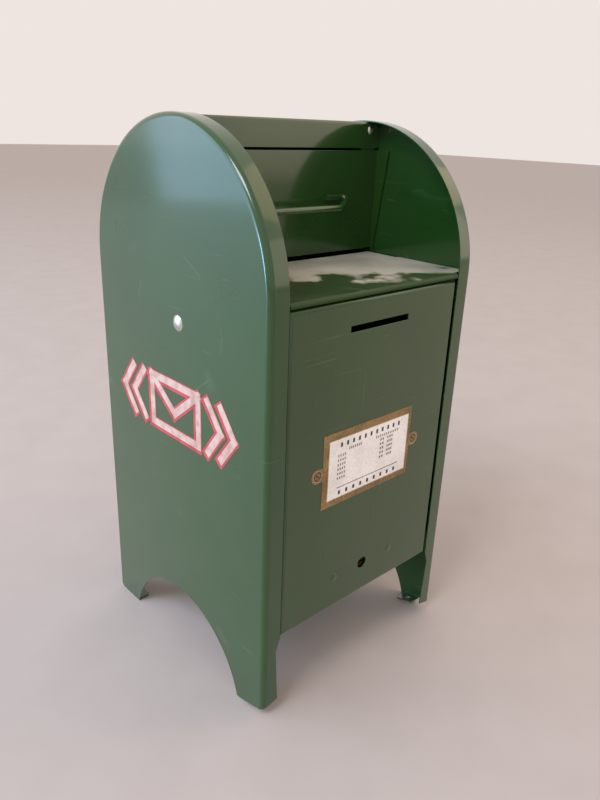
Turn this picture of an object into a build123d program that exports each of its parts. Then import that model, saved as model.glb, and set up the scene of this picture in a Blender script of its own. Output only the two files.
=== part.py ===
from build123d import *
from math import atan2, degrees, sqrt
import os

# A toy coin bank in the shape of a street-corner mailbox, pressed from enamelled tinplate.
# Millimetres. The origin is on the floor under the centre, the front faces -Y, and Z is up.

# ---- driving dimensions ----
bank_width = 112.0          # X, over the flat outer faces of the side panels
bank_depth = 118.0          # Y, over the side panels' front and rear flanges
bank_height = 235.0         # Z, floor to the crown of the half-round top
sheet = 0.6                 # thickness of every pressed sheet

# side panels
flange_width = 8.6          # inward flange round each side panel, measured from the outer face
panel_bend = 2.5            # outer radius between a panel's face and its flange
arch_half_width = 41.5      # leg arch at the floor
arch_height = 31.5          # leg arch above the floor
leg_flange_knee_drop = 6.0  # the front flange narrows over this height, just below the door
leg_flange_knee = 2.0       # and by this much
leg_flange_toe = 0.6        # how much narrower the flange still is at the floor
toe_rise = 4.5              # the front leg's sole slopes up to the front by this much
toe_length = 16.0           # over this length
toe_flange_rise = 2.0       # and the flange's lower end slopes up inwards by this much more
heel_radius = 2.0           # rounded rear corner of the rear leg
foot_width = 6.0            # turned-in foot tab, X, past the leg's inner face
foot_length = 10.5          # foot tab, Y
foot_setback = 1.0          # rear foot tab from the edge of the leg arch
foot_corner = 1.5           # rounded free corners of the tab
foot_hole_radius = 1.5      # fixing hole in the tab

# front door
door_bottom_z = 38.0
door_gap = 0.4              # between the door's sides and the panels' flanges
door_recess = 0.3           # door face behind the faces of the flanges
door_bend = 2.0             # outer radius of the door's turned edges
door_flange = 8.0           # depth of the door's turned edges
slot_length = 33.0          # coin slot
slot_height = 2.5
slot_below_top = 11.25      # slot centre below the door's top edge
keyhole_radius = 2.65
keyhole_above_bottom = 15.4
label_width = 52.4          # gold-framed label, without its side lugs
label_height = 32.3
label_thickness = 0.2
label_above_bottom = 68.3   # label centre above the door's bottom edge
label_shift = -1.5          # label centre off the door's centre line, X
label_lug_radius = 3.3      # round lugs at the label's sides
label_lug_reach = 2.6       # lug centre outside the label's edge

# door hinge
wire_radius = 1.0           # hinge wire
wire_setback = 5.6          # wire behind the panels' front faces
wire_drop = 6.5             # wire below the door's top edge
cup_radius = 3.0            # cups on the panels that hold the wire's ends
cup_length = 3.0
running_clearance = 0.05    # radial clearance of everything that turns
seat_clearance = 0.05       # slack of pieces that are fixed or stacked

# shelf
shelf_above_spring = 0.6    # shelf's upper face above the springing line of the half-round top
shelf_rear_y = -1.0
shelf_lip = 2.0             # front lip's height, shelf thickness included
lip_gap = 0.6               # between the lip and the door's top edge
shelf_bend = 1.4
shelf_side_lip = 6.0        # turned-down side lips that are welded to the panels
notch_length = 18.0         # side notches that let the mail door's arms through
notch_clearance = 0.5

# base plate
base_above_door_bottom = 2.0
base_side_lip = 5.0
keeper_height = 4.2         # upturned front lip that the lock's cam hooks behind
keeper_width = 80.0
keeper_gap = 0.6            # keeper behind the door's turned bottom edge

# roof and back cover
strip_height = 11.0         # turned-down front strip of the roof
roof_front_y = -2.0         # front face of the strip
roof_bend = 1.2
back_bottom_z = 38.0

# mail door
pivot_y = -3.7              # pivot rivets
pivot_drop = 17.6           # pivot below the shelf's upper face
mail_door_gap_below = 2.2   # above the shelf
mail_door_gap_above = 1.0   # below the roof's strip
hem_height = 3.0            # folded hems along the door's upper and lower edges
hem_end = 42.0              # the hems stop here, clear of the corner lugs, X
arm_top_reach = 7.0         # arm in front of the door plate at the top
arm_low_reach = 1.2         # arm in front of the door plate at its lower edge
arm_back_reach = 6.4        # arm behind the door plate
eye_radius = 6.0            # round eye of the arm at the rivet
rivet_radius = 2.0          # pivot rivet's shank
rivet_head_radius = 3.2
rivet_head_height = 1.2
rivet_tail_radius = 3.5
rivet_tail_height = 0.9
washer_radius = 4.5
washer_thickness = 0.35

# mail door's handle
handle_wire = 1.3           # radius
handle_above_shelf = 26.4   # handle's feet above the shelf's upper face
handle_foot_end = 21.7      # inner ends of the turned-in feet off the centre line
handle_foot_x = 37.0        # corner between foot and neck off the centre line
handle_bar_x = 19.5         # corners of the front bar off the centre line
handle_reach = 12.5         # bar in front of the door plate
handle_drop = 3.0           # bar lower than the feet
handle_foot_bend = 2.0
handle_bar_bend = 3.4
handle_weld_flat = 0.15     # depth of the flat where a foot is welded to the plate

# roof corner lugs and their rivets
lug_inner_x = 44.0
lug_outer_gap = 1.2         # lug's lower stop inside the arm's inner face
lug_height = 19.0
lug_above_strip_foot = 9.5  # lug's top above the strip's lower edge
lug_leg = 10.0              # leg that is welded to the side panel
lug_leg_height = 7.0        # its top above the strip's lower edge
roof_rivet_x = 49.3
roof_rivet_above = 7.7      # above the strip's lower edge
roof_rivet_radius = 1.4
roof_rivet_head_radius = 2.0
roof_rivet_head_height = 0.9

# lock
bracket_width = 44.0
bracket_height = 12.0
bracket_thickness = 0.8
bracket_rivet_x = 17.5
bracket_rivet_radius = 1.2
bracket_rivet_head_radius = 1.9
bracket_rivet_head = 0.25
case_radius = 7.0
case_wall = 1.0
case_end = 0.6
barrel_radius = 5.0
barrel_front_gap = 0.3      # barrel's face behind the door's sheet
key_slot_width = 1.2
key_slot_length = 6.4
key_slot_depth = 4.0
spindle_radius = 2.5
cam_thickness = 1.2
cam_length = 10.0           # spindle's axis to the cam's tip
cam_width = 6.4
cam_root_radius = 4.2
keeper_clearance = 0.5      # cam behind the keeper when it is locked
nut_across_corners = 8.0
nut_thickness = 2.0

# ---- places worked out from the driving dimensions ----
panel_x = bank_width / 2                        # outer face of a side panel
inner_x = panel_x - sheet                       # inner face of a side panel
front_y = -bank_depth / 2
back_y = bank_depth / 2
arch_radius = bank_depth / 2
spring_z = bank_height - arch_radius            # springing line of the half-round top
panel_bend_inner = panel_bend - sheet
leg_arch_radius = (arch_half_width ** 2 + arch_height ** 2) / (2 * arch_height)
leg_arch_z = arch_height - leg_arch_radius

shelf_top_z = spring_z + shelf_above_spring
door_top_z = shelf_top_z - shelf_lip - lip_gap
door_face_y = front_y + door_recess
door_half = panel_x - flange_width - door_gap
door_inside_y = door_face_y + sheet
keyhole_z = door_bottom_z + keyhole_above_bottom

wire_y = front_y + wire_setback
wire_z = door_top_z - wire_drop

strip_bottom_z = spring_z + sqrt((arch_radius - sheet) ** 2 - roof_front_y ** 2) - strip_height
strip_end_top_z = spring_z + arch_radius - panel_bend - seat_clearance
cover_half = inner_x - panel_bend_inner - seat_clearance
pivot_z = shelf_top_z - pivot_drop
mail_bottom_z = shelf_top_z + mail_door_gap_below
mail_top_z = strip_bottom_z - mail_door_gap_above
arm_outer_x = inner_x - washer_thickness - seat_clearance
arm_inner_x = arm_outer_x - sheet
plate_back_y = roof_front_y + sheet
handle_z = shelf_top_z + handle_above_shelf

base_z = door_bottom_z + base_above_door_bottom
keeper_y = door_face_y + door_flange + keeper_gap
case_back_y = keeper_y + sheet + keeper_clearance - seat_clearance
lug_foot_z = strip_bottom_z + lug_above_strip_foot - lug_height
roof_rivet_z = strip_bottom_z + roof_rivet_above


def box(x0, x1, y0, y1, z0, z1):
    """A box between two corners."""
    size = Box(x1 - x0, y1 - y0, z1 - z0)
    return Pos((x0 + x1) / 2, (y0 + y1) / 2, (z0 + z1) / 2) * size


def rod_x(radius, x0, x1, y, z):
    """A cylinder along X."""
    return Pos((x0 + x1) / 2, y, z) * Rot(0, 90, 0) * Cylinder(radius, abs(x1 - x0))


def rod_y(radius, y0, y1, x, z):
    """A cylinder along Y."""
    return Pos(x, (y0 + y1) / 2, z) * Rot(90, 0, 0) * Cylinder(radius, abs(y1 - y0))


def dome(radius, height):
    """A rivet's domed head on the XY plane, rising to +Z."""
    ball_radius = (radius ** 2 + height ** 2) / (2 * height)
    ball = Pos(0, 0, height - ball_radius) * Sphere(ball_radius)
    return ball & Pos(0, 0, height / 2) * Cylinder(radius, height)


def mirror_x(shape):
    """The same piece on the other side."""
    return mirror(shape, about=Plane.YZ)


def side_sketch(inset, foot_z):
    """Side elevation, straight sides under a half round, drawn inset from the outer edge."""
    radius = arch_radius - inset
    height = spring_z - foot_z
    straight = Pos(0, foot_z + height / 2) * Rectangle(2 * radius, height)
    return straight + Pos(0, spring_z) * Circle(radius)


def side_prism(inset, foot_z, x0, x1, bend):
    """The side elevation as a solid from x0 to x1, its outer rim rounded at x0."""
    prism = Pos(x0, 0, 0) * extrude(Plane.YZ * side_sketch(inset, foot_z), x1 - x0)
    face = prism.faces().sort_by(Axis.X)[0]
    rim = [edge for edge in face.edges() if edge.center().Z > foot_z + sheet]
    return fillet(rim, bend)


def yz_prism(points, x0, x1):
    """A solid from x0 to x1 whose section is a closed outline of (y, z) points."""
    outline = Plane.YZ * make_face(Polyline(*points, close=True))
    return Pos(x0, 0, 0) * extrude(outline, x1 - x0)


def foot_tab():
    """Turned-in foot of a leg, flat on the floor, from the origin towards +Y."""
    tab = box(-panel_x, -inner_x + foot_width, 0, foot_length, 0, sheet)
    free_end = tab.faces().sort_by(Axis.X)[-1]
    tab = fillet(free_end.edges().filter_by(Axis.Z), foot_corner)
    return tab - Pos(-inner_x + foot_width / 2, foot_length / 2, 0) * Cylinder(foot_hole_radius, 4 * sheet)


def left_side_panel():
    """Pressed pan with a flange all round, a leg arch and two turned-in feet."""
    pan = side_prism(0, 0, -panel_x, -panel_x + flange_width, panel_bend)
    hollow = side_prism(sheet, -toe_rise, -inner_x, -panel_x + 2 * flange_width, panel_bend_inner)
    pan -= hollow
    pan -= rod_x(leg_arch_radius, -panel_x - 1, -panel_x + 2 * flange_width, 0, leg_arch_z)

    flange_x = -panel_x + flange_width
    knee_z = door_bottom_z - leg_flange_knee_drop
    trim = Plane.XZ * make_face(Polyline(
        (flange_x + 1, door_bottom_z),
        (flange_x, door_bottom_z),
        (flange_x - leg_flange_knee, knee_z),
        (flange_x - leg_flange_toe, toe_rise + toe_flange_rise),
        (-panel_x + panel_bend, toe_rise),
        (-panel_x + panel_bend, -1),
        (flange_x + 1, -1),
        close=True))
    pan -= Pos(0, front_y + panel_bend, 0) * extrude(trim, 2 * panel_bend)

    toe_y = front_y + toe_length
    toe = yz_prism([(front_y - 1, -1), (front_y - 1, toe_rise), (front_y, toe_rise),
                    (toe_y, 0), (toe_y, -1)],
                   -panel_x - 1, flange_x + 1)
    pan -= toe
    heel = box(-panel_x - 1, flange_x + 1, back_y - heel_radius, back_y + 1, -1, heel_radius)
    heel -= rod_x(heel_radius, -panel_x - 2, flange_x + 2, back_y - heel_radius, heel_radius)
    pan -= heel

    sole_angle = degrees(atan2(toe_rise, toe_length))
    pan += Pos(0, toe_y, 0) * Rot(-sole_angle, 0, 0) * mirror(foot_tab(), about=Plane.XZ)
    pan += Pos(0, arch_half_width + foot_setback, 0) * foot_tab()
    pan -= rod_x(rivet_radius + seat_clearance, -panel_x - 1, -inner_x + 1, pivot_y, pivot_z)
    return pan


def roof_back_cover():
    """One sheet over the top and down the back, with a turned-down strip at its front edge."""
    sheet_ring = side_sketch(sheet, back_bottom_z) - side_sketch(2 * sheet, 0)
    keep = Pos(roof_front_y + bank_depth / 2, bank_height / 2) * Rectangle(bank_depth, bank_height)
    profile = sheet_ring & keep
    strip = Pos(roof_front_y + sheet / 2, strip_bottom_z + strip_height / 2)
    profile += strip * Rectangle(sheet, strip_height - sheet / 2)
    profile += Pos(roof_front_y + sheet / 2, strip_bottom_z + sheet) * Rectangle(sheet, 2 * sheet)
    corner = profile.vertices().group_by(Axis.X)[0].sort_by(Axis.Y)[-1]
    profile = fillet(corner, roof_bend)
    cover = Pos(-cover_half, 0, 0) * extrude(Plane.YZ * profile, 2 * cover_half)
    strip_half = inner_x - seat_clearance
    cover += box(-strip_half, strip_half, roof_front_y, plate_back_y, strip_bottom_z, strip_end_top_z)
    for x in (-roof_rivet_x, roof_rivet_x):
        cover -= rod_y(roof_rivet_radius + seat_clearance, roof_front_y - 1, plate_back_y + 1, x, roof_rivet_z)
    return cover


def shelf():
    """Flat shelf in the open front: a front lip over the door, side lips, notches for the arms."""
    middle_front = front_y + panel_bend
    notch_y = shelf_rear_y - notch_length
    notch_x = arm_inner_x - notch_clearance
    low_z = shelf_top_z - sheet
    plate = box(-inner_x, inner_x, middle_front, notch_y, low_z, shelf_top_z)
    plate += box(-notch_x, notch_x, notch_y, shelf_rear_y, low_z, shelf_top_z)
    plate += box(-door_half, door_half, front_y, middle_front, low_z, shelf_top_z)
    lip = box(-door_half, door_half, front_y, front_y + sheet, shelf_top_z - shelf_lip, shelf_top_z)
    plate += lip
    front_edge = plate.edges().filter_by(Axis.X).group_by(Axis.Y)[0].sort_by(Axis.Z)[-1]
    plate = fillet(front_edge, min(shelf_bend, shelf_lip - sheet / 2))
    lip_front = middle_front + panel_bend
    for side in (-1, 1):
        outer = side * inner_x
        inner = side * (inner_x - sheet)
        x0, x1 = min(outer, inner), max(outer, inner)
        plate += box(x0, x1, lip_front, notch_y, shelf_top_z - shelf_side_lip, shelf_top_z)
    return plate


def base_plate():
    """Floor of the bank: turned-down lips on three sides, an upturned keeper at the front."""
    corner_y = back_y - panel_bend - seat_clearance
    rear_y = back_y - 2 * sheet
    plate = box(-inner_x, inner_x, keeper_y, corner_y, base_z, base_z + sheet)
    plate += box(-cover_half, cover_half, corner_y, rear_y, base_z, base_z + sheet)
    plate += box(-cover_half, cover_half, rear_y - sheet, rear_y, back_bottom_z, base_z + sheet)
    keeper_half = keeper_width / 2
    plate += box(-keeper_half, keeper_half, keeper_y, keeper_y + sheet, base_z, base_z + keeper_height)
    for side in (-1, 1):
        outer = side * inner_x
        inner = side * (inner_x - sheet)
        lip = box(min(outer, inner), max(outer, inner), keeper_y, corner_y,
                  base_z - base_side_lip, base_z + sheet)
        plate += lip
    return plate


def front_door():
    """Shallow pan with the coin slot, the keyhole and the holes for its hinge wire."""
    depth = door_flange
    skin = box(-door_half, door_half, door_face_y, door_face_y + depth, door_bottom_z, door_top_z)
    rim = skin.faces().sort_by(Axis.Y)[0].edges()
    skin = fillet(rim, door_bend)
    inner_half = door_half - sheet
    hollow = box(-inner_half, inner_half, door_inside_y, door_face_y + 2 * depth,
                 door_bottom_z + sheet, door_top_z - sheet)
    hollow = fillet(hollow.faces().sort_by(Axis.Y)[0].edges(), door_bend - sheet)
    door = skin - hollow

    half_slot = slot_length / 2
    slot_z = door_top_z - slot_below_top
    door -= box(-half_slot, half_slot, door_face_y - 1, door_inside_y + 1,
                slot_z - slot_height / 2, slot_z + slot_height / 2)
    door -= rod_y(keyhole_radius, door_face_y - 1, door_inside_y + 1, 0, keyhole_z)
    for x in (-bracket_rivet_x, bracket_rivet_x):
        hole = bracket_rivet_radius + seat_clearance
        door -= rod_y(hole, door_face_y - 1, door_inside_y + 1, x, keyhole_z)
    door -= rod_x(wire_radius + running_clearance, -door_half - 1, door_half + 1, wire_y, wire_z)
    return door


def label_plate():
    """Thin label with two round lugs, stuck on the door."""
    center_z = door_bottom_z + label_above_bottom
    outline = Rectangle(label_width, label_height)
    lug_x = label_width / 2 + label_lug_reach
    for x in (-lug_x, lug_x):
        outline += Pos(x, 0) * Circle(label_lug_radius)
        outline += Pos(x * (1 - label_lug_reach / lug_x / 2), 0) * Rectangle(label_lug_reach, label_lug_radius)
    body = extrude(Plane.XZ * outline, label_thickness)
    return Pos(label_shift, door_face_y, center_z) * body


def door_hinge_wire():
    """Wire across the whole bank that the front door hangs on."""
    end_x = inner_x - sheet
    return rod_x(wire_radius, -end_x, end_x, wire_y, wire_z)


def hinge_cups():
    """Drawn cups, welded inside the side panels, that hold the wire's ends."""
    cup = rod_x(cup_radius, inner_x - cup_length, inner_x, wire_y, wire_z)
    cup = fillet(cup.faces().sort_by(Axis.X)[0].edges(), sheet)
    bore = wire_radius + running_clearance
    cup -= rod_x(bore, inner_x - cup_length - 1, inner_x - sheet + seat_clearance, wire_y, wire_z)
    return [cup, mirror_x(cup)]


def mail_door():
    """Hopper door: a plate with hems, and an arm at each side that runs down to the pivot."""
    plate = box(-arm_outer_x, arm_outer_x, roof_front_y, plate_back_y, mail_bottom_z, mail_top_z)
    for foot_z in (mail_bottom_z, mail_top_z - hem_height):
        plate += box(-hem_end, hem_end, plate_back_y, plate_back_y + sheet, foot_z, foot_z + hem_height)

    front_top = roof_front_y - arm_top_reach
    front_low = roof_front_y - arm_low_reach
    back = plate_back_y + arm_back_reach
    shoulder_z = lug_foot_z - 2
    arm = yz_prism([(front_top, mail_top_z), (plate_back_y, mail_top_z), (plate_back_y, shoulder_z),
                    (back, shoulder_z - arm_back_reach), (pivot_y + eye_radius, pivot_z),
                    (pivot_y - eye_radius, pivot_z), (front_low, mail_bottom_z)],
                   arm_inner_x, arm_outer_x)
    arm += rod_x(eye_radius, arm_inner_x, arm_outer_x, pivot_y, pivot_z)
    arm -= rod_x(rivet_radius + running_clearance, arm_inner_x - 1, arm_outer_x + 1, pivot_y, pivot_z)
    return plate + arm + mirror_x(arm)


def mail_door_handle():
    """Bent wire pull; its turned-in feet lie along the plate and are spot-welded to it."""
    foot_y = roof_front_y - handle_wire + handle_weld_flat
    bar_y = roof_front_y - handle_reach
    bar_z = handle_z - handle_drop
    route = FilletPolyline(
        (-handle_foot_end, foot_y, handle_z), (-handle_foot_x, foot_y, handle_z),
        (-handle_bar_x, bar_y, bar_z), (handle_bar_x, bar_y, bar_z),
        (handle_foot_x, foot_y, handle_z), (handle_foot_end, foot_y, handle_z),
        radius=[handle_foot_bend, handle_bar_bend, handle_bar_bend, handle_foot_bend])
    section = Plane(origin=(-handle_foot_end, foot_y, handle_z), z_dir=(-1, 0, 0)) * Circle(handle_wire)
    wire = sweep(section, path=route)
    return wire - box(-panel_x, panel_x, roof_front_y, 0, handle_z - 2 * handle_wire, handle_z + 2 * handle_wire)


def pivot_rivets():
    """Domed rivets that carry the mail door's arms, one in each side panel."""
    tail_x = arm_inner_x - seat_clearance
    rivet = rod_x(rivet_radius, tail_x - rivet_tail_height, panel_x, pivot_y, pivot_z)
    rivet += rod_x(rivet_tail_radius, tail_x - rivet_tail_height, tail_x, pivot_y, pivot_z)
    rivet += Pos(panel_x, pivot_y, pivot_z) * Rot(0, 90, 0) * dome(rivet_head_radius, rivet_head_height)
    return [rivet, mirror_x(rivet)]


def pivot_washers():
    """Spacers that keep the arms off the side panels."""
    washer = rod_x(washer_radius, inner_x - washer_thickness, inner_x, pivot_y, pivot_z)
    washer -= rod_x(rivet_radius + seat_clearance, inner_x - 2, inner_x + 1, pivot_y, pivot_z)
    return [washer, mirror_x(washer)]


def roof_corner_lugs():
    """Angle lugs, welded in the roof's front corners, that the strip is riveted to."""
    lug_top_z = lug_foot_z + lug_height
    stop_x = arm_inner_x - lug_outer_gap
    lug = box(lug_inner_x, stop_x, plate_back_y, plate_back_y + sheet, lug_foot_z, lug_top_z)
    clear_z = mail_top_z + mail_door_gap_above
    leg_top_z = strip_bottom_z + lug_leg_height
    lug += box(stop_x, inner_x, plate_back_y, plate_back_y + sheet, clear_z, leg_top_z)
    lug += box(inner_x - sheet, inner_x, plate_back_y, plate_back_y + lug_leg, clear_z, leg_top_z)
    hole = roof_rivet_radius + seat_clearance
    lug -= rod_y(hole, plate_back_y - 1, plate_back_y + 1, roof_rivet_x, roof_rivet_z)
    return [lug, mirror_x(lug)]


def roof_rivets():
    """Small domed rivets through the roof's strip and the corner lugs."""
    tail_y = plate_back_y + sheet
    rivet = rod_y(roof_rivet_radius, roof_front_y, tail_y + sheet, roof_rivet_x, roof_rivet_z)
    rivet += rod_y(roof_rivet_head_radius, tail_y, tail_y + sheet, roof_rivet_x, roof_rivet_z)
    head = Rot(90, 0, 0) * dome(roof_rivet_head_radius, roof_rivet_head_height)
    rivet += Pos(roof_rivet_x, roof_front_y, roof_rivet_z) * head
    return [rivet, mirror_x(rivet)]


def lock_bracket():
    """Strap behind the door that carries the lock."""
    back = door_inside_y + bracket_thickness
    strap = box(-bracket_width / 2, bracket_width / 2, door_inside_y, back,
                keyhole_z - bracket_height / 2, keyhole_z + bracket_height / 2)
    strap = fillet(strap.edges().filter_by(Axis.Y), bracket_height / 4)
    strap -= rod_y(barrel_radius + running_clearance, door_inside_y - 1, back + 1, 0, keyhole_z)
    for x in (-bracket_rivet_x, bracket_rivet_x):
        hole = bracket_rivet_radius + seat_clearance
        strap -= rod_y(hole, door_inside_y - 1, back + 1, x, keyhole_z)
    return strap


def lock_rivets():
    """Low rivets that hold the bracket to the door, painted over with it."""
    tail_y = door_inside_y + bracket_thickness
    rivets = []
    for x in (-bracket_rivet_x, bracket_rivet_x):
        rivet = rod_y(bracket_rivet_radius, door_face_y, tail_y + sheet, x, keyhole_z)
        rivet += rod_y(bracket_rivet_head_radius, tail_y, tail_y + sheet, x, keyhole_z)
        head = Rot(90, 0, 0) * dome(bracket_rivet_head_radius, bracket_rivet_head)
        rivets.append(rivet + Pos(x, door_face_y, keyhole_z) * head)
    return rivets


def lock_case():
    """Round cup on the bracket in which the lock's barrel turns."""
    mouth_y = door_inside_y + bracket_thickness
    case = rod_y(case_radius, mouth_y, case_back_y, 0, keyhole_z)
    case = fillet(case.faces().sort_by(Axis.Y)[-1].edges(), case_wall)
    case -= rod_y(barrel_radius + running_clearance, mouth_y - 1, case_back_y - case_end, 0, keyhole_z)
    case -= rod_y(spindle_radius + running_clearance, mouth_y, case_back_y + 1, 0, keyhole_z)
    return case


def lock_barrel():
    """Barrel with a key slot, and the spindle that carries the cam."""
    face_y = door_inside_y + barrel_front_gap
    shoulder_y = case_back_y - case_end - seat_clearance
    barrel = rod_y(barrel_radius, face_y, shoulder_y, 0, keyhole_z)
    tail_y = case_back_y + cam_thickness + nut_thickness + 2 * seat_clearance
    barrel += rod_y(spindle_radius, face_y, tail_y, 0, keyhole_z)
    barrel -= box(-key_slot_length / 2, key_slot_length / 2, face_y - 1, face_y + key_slot_depth,
                  keyhole_z - key_slot_width / 2, keyhole_z + key_slot_width / 2)
    return barrel


def lock_cam():
    """Flat cam on the spindle; its tongue lies sideways when the lock is open."""
    y0 = case_back_y + seat_clearance
    y1 = y0 + cam_thickness
    cam = rod_y(cam_root_radius, y0, y1, 0, keyhole_z)
    tip_x = cam_length - cam_width / 2
    cam += box(0, tip_x, y0, y1, keyhole_z - cam_width / 2, keyhole_z + cam_width / 2)
    cam += rod_y(cam_width / 2, y0, y1, tip_x, keyhole_z)
    return cam - rod_y(spindle_radius + seat_clearance, y0 - 1, y1 + 1, 0, keyhole_z)


def lock_nut():
    """Hexagon nut that clamps the cam."""
    y0 = case_back_y + cam_thickness + 2 * seat_clearance
    section = RegularPolygon(nut_across_corners / 2, 6) - Circle(spindle_radius + seat_clearance)
    nut = extrude(Plane.XZ * section, -nut_thickness)
    return Pos(0, y0, keyhole_z) * nut


nodes = {
    "left_side_panel": left_side_panel(),
    "right_side_panel": mirror_x(left_side_panel()),
    "roof_back_cover": roof_back_cover(),
    "shelf": shelf(),
    "base_plate": base_plate(),
    "front_door": front_door(),
    "label_plate": label_plate(),
    "door_hinge_wire": door_hinge_wire(),
    "hinge_cups": hinge_cups(),
    "mail_door": mail_door(),
    "mail_door_handle": mail_door_handle(),
    "pivot_rivets": pivot_rivets(),
    "pivot_washers": pivot_washers(),
    "roof_corner_lugs": roof_corner_lugs(),
    "roof_rivets": roof_rivets(),
    "lock_bracket": lock_bracket(),
    "lock_rivets": lock_rivets(),
    "lock_case": lock_case(),
    "lock_barrel": lock_barrel(),
    "lock_cam": lock_cam(),
    "lock_nut": lock_nut(),
}

os.makedirs("parts", exist_ok=True)
for name, shape in nodes.items():
    group = Compound(children=shape) if isinstance(shape, list) else shape
    export_step(group, f"parts/{name}.step")
    print(name, "written")
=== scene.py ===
from math import asin, cos, pi, radians, sin, sqrt, tan

import bmesh
import bpy
from mathutils import Matrix, Vector


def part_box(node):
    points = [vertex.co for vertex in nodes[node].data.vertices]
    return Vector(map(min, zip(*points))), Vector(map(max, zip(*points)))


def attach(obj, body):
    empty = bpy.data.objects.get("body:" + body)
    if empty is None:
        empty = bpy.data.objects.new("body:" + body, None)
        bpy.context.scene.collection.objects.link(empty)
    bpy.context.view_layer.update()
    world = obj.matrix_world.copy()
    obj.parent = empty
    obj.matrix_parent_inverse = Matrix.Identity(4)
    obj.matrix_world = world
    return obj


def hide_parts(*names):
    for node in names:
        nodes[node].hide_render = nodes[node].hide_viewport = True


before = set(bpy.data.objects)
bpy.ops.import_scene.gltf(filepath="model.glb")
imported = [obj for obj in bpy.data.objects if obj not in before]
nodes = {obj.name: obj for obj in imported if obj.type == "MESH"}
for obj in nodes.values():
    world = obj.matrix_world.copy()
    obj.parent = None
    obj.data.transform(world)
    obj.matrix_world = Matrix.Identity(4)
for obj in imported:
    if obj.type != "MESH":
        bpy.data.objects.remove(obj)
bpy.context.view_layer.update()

# A toy coin bank shaped like a street-corner mailbox. The sections follow its assembly: the two pressed
# sides, the sheets between them, the front door with its lock and label, the hopper door with its pull,
# and the rivets. Metres, floor at zero, front towards -Y.

# ---- Side panels -------------------------------------------------------------------------------------
# Two pans pressed from 0.6 mm tinplate: a face with a full half-round top, a flange turned in all round,
# a leg arch, and a drilled foot tab folded in under each leg. Dipped and stoved in dark green enamel.
MM = 0.001
SHEET = 0.6 * MM
BEND_STEPS = 6
TOUCHING = 0.01 * MM
panel_low, panel_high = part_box("right_side_panel")
panel_x = panel_high.x
flange_width = panel_high.x - panel_low.x
front_y, back_y, crown_z = panel_low.y, panel_high.y, panel_high.z
arch_radius = (back_y - front_y) / 2
spring_z = crown_z - arch_radius
pivot_y = (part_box("pivot_rivets")[0].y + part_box("pivot_rivets")[1].y) / 2
pivot_z = (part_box("pivot_rivets")[0].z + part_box("pivot_rivets")[1].z) / 2


def linear(hex_code):
    """An sRGB hex colour as the linear colour that shaders expect."""
    channels = [int(hex_code[i:i + 2], 16) / 255 for i in (1, 3, 5)]
    return [c / 12.92 if c <= 0.04045 else ((c + 0.055) / 1.055) ** 2.4 for c in channels] + [1.0]


def add(tree, kind, sockets=None, out=0, stops=(), **settings):
    """Adds a shader node with its settings, socket values or links and ramp stops; gives one output."""
    node = tree.nodes.new(kind)
    for name, value in settings.items():
        setattr(node, name, value)
    for socket, value in (sockets or {}).items():
        if isinstance(value, bpy.types.NodeSocket):
            tree.links.new(value, node.inputs[socket])
        else:
            node.inputs[socket].default_value = value
    for index, (position, colour) in enumerate(stops):
        ramp = node.color_ramp.elements
        element = ramp[index] if index < 2 else ramp.new(position)
        element.position = position
        element.color = colour if isinstance(colour, list) else (colour, colour, colour, 1.0)
    return node.outputs[out] if len(node.outputs) else node


def new_material(name):
    """An empty material, its node tree, and the object's own coordinates in metres."""
    material = bpy.data.materials.new(name)
    material.use_nodes = True
    tree = material.node_tree
    tree.nodes.clear()
    return material, tree, add(tree, "ShaderNodeTexCoord", out="Object")


# Stoving enamel, dipped and baked: a deep green that turns pale where it mirrors the room. Slow ripple
# over 60 mm, peel of about 1.5 mm, a few hairlines, and chips down to grey tin, most on the cut edges.
arc_radius, arc_half_width, arc_wander = 32.0 * MM, 0.25 * MM, 9.0 * MM
dust_edge_low, dust_edge_high, dust_raggedness = 2.0 * MM, 12.0 * MM, 78.0 * MM


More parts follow.
